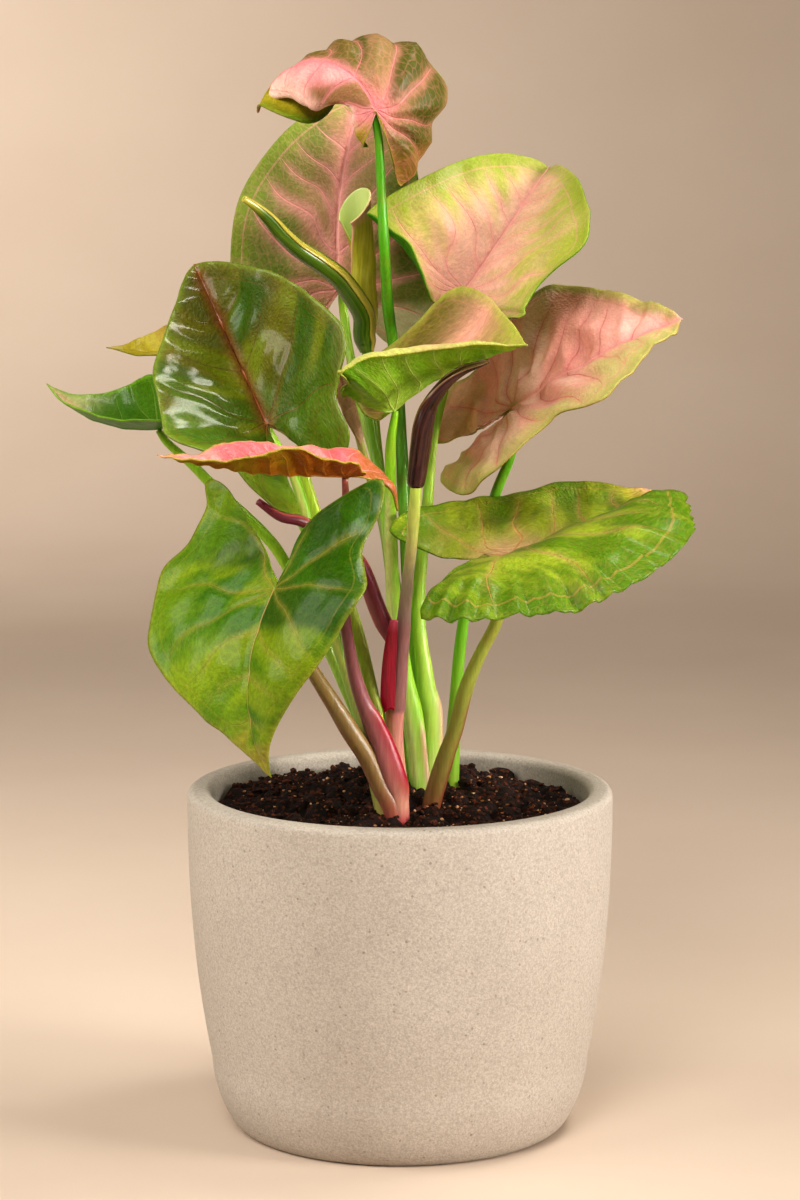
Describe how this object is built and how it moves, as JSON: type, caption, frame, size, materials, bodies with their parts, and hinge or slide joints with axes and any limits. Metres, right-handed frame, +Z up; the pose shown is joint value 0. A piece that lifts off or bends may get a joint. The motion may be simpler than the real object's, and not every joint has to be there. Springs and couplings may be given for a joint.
{
  "type": "potted syngonium",
  "caption": "Arrowhead vine with pink and green variegated leaves on slender stalks, growing in soil in a round matte stoneware pot",
  "frame": {"origin": "centre of the pot's flat underside, on the surface it stands on", "axes": "+Z up along the pot's axis, -Y towards the viewer of the picture, +X to the viewer's right"},
  "size_m": [0.2088, 0.159, 0.3556],
  "materials": {
    "stoneware": "matte unglazed stoneware with fine dark speckle",
    "soil": "dark moist potting soil with fine bark and grit",
    "stalk_green": "smooth green leaf stalk",
    "stalk_mauve": "smooth olive to mauve leaf stalk",
    "sheath_red": "smooth crimson leaf sheath",
    "leaf_pink": "satin leaf mottled pink and olive, with pink veins",
    "leaf_olive": "glossy olive green leaf with reddish veins",
    "leaf_green": "glossy mid green leaf with tan veins",
    "leaf_rolled": "glossy rolled young leaf, dark green to yellow-olive",
    "leaf_dark": "dark purple-brown rolled young leaf"
  },
  "bodies": {
    "root": {"pot": "stoneware", "soil": "soil", "stems_front_left": "stalk_mauve", "stems_front": "stalk_mauve", "stem_front_right": "stalk_green", "stems_centre": "stalk_green", "stem_right": "stalk_green", "sheath_red": "sheath_red", "blade_top": "leaf_pink", "blade_back_left": "leaf_pink", "blade_upper_right": "leaf_pink", "blade_centre": "leaf_olive", "blade_right": "leaf_pink", "blade_large_left": "leaf_olive", "blade_front_left": "leaf_green", "blade_front_right": "leaf_green", "blade_edge_left": "leaf_pink", "blade_far_left": "leaf_green", "blade_small_left": "leaf_olive", "blade_behind_stems": "leaf_olive", "rolled_leaf_left": "leaf_rolled", "rolled_leaf_middle": "leaf_rolled", "rolled_leaf_dark": "leaf_dark"}
  },
  "joints": []
}
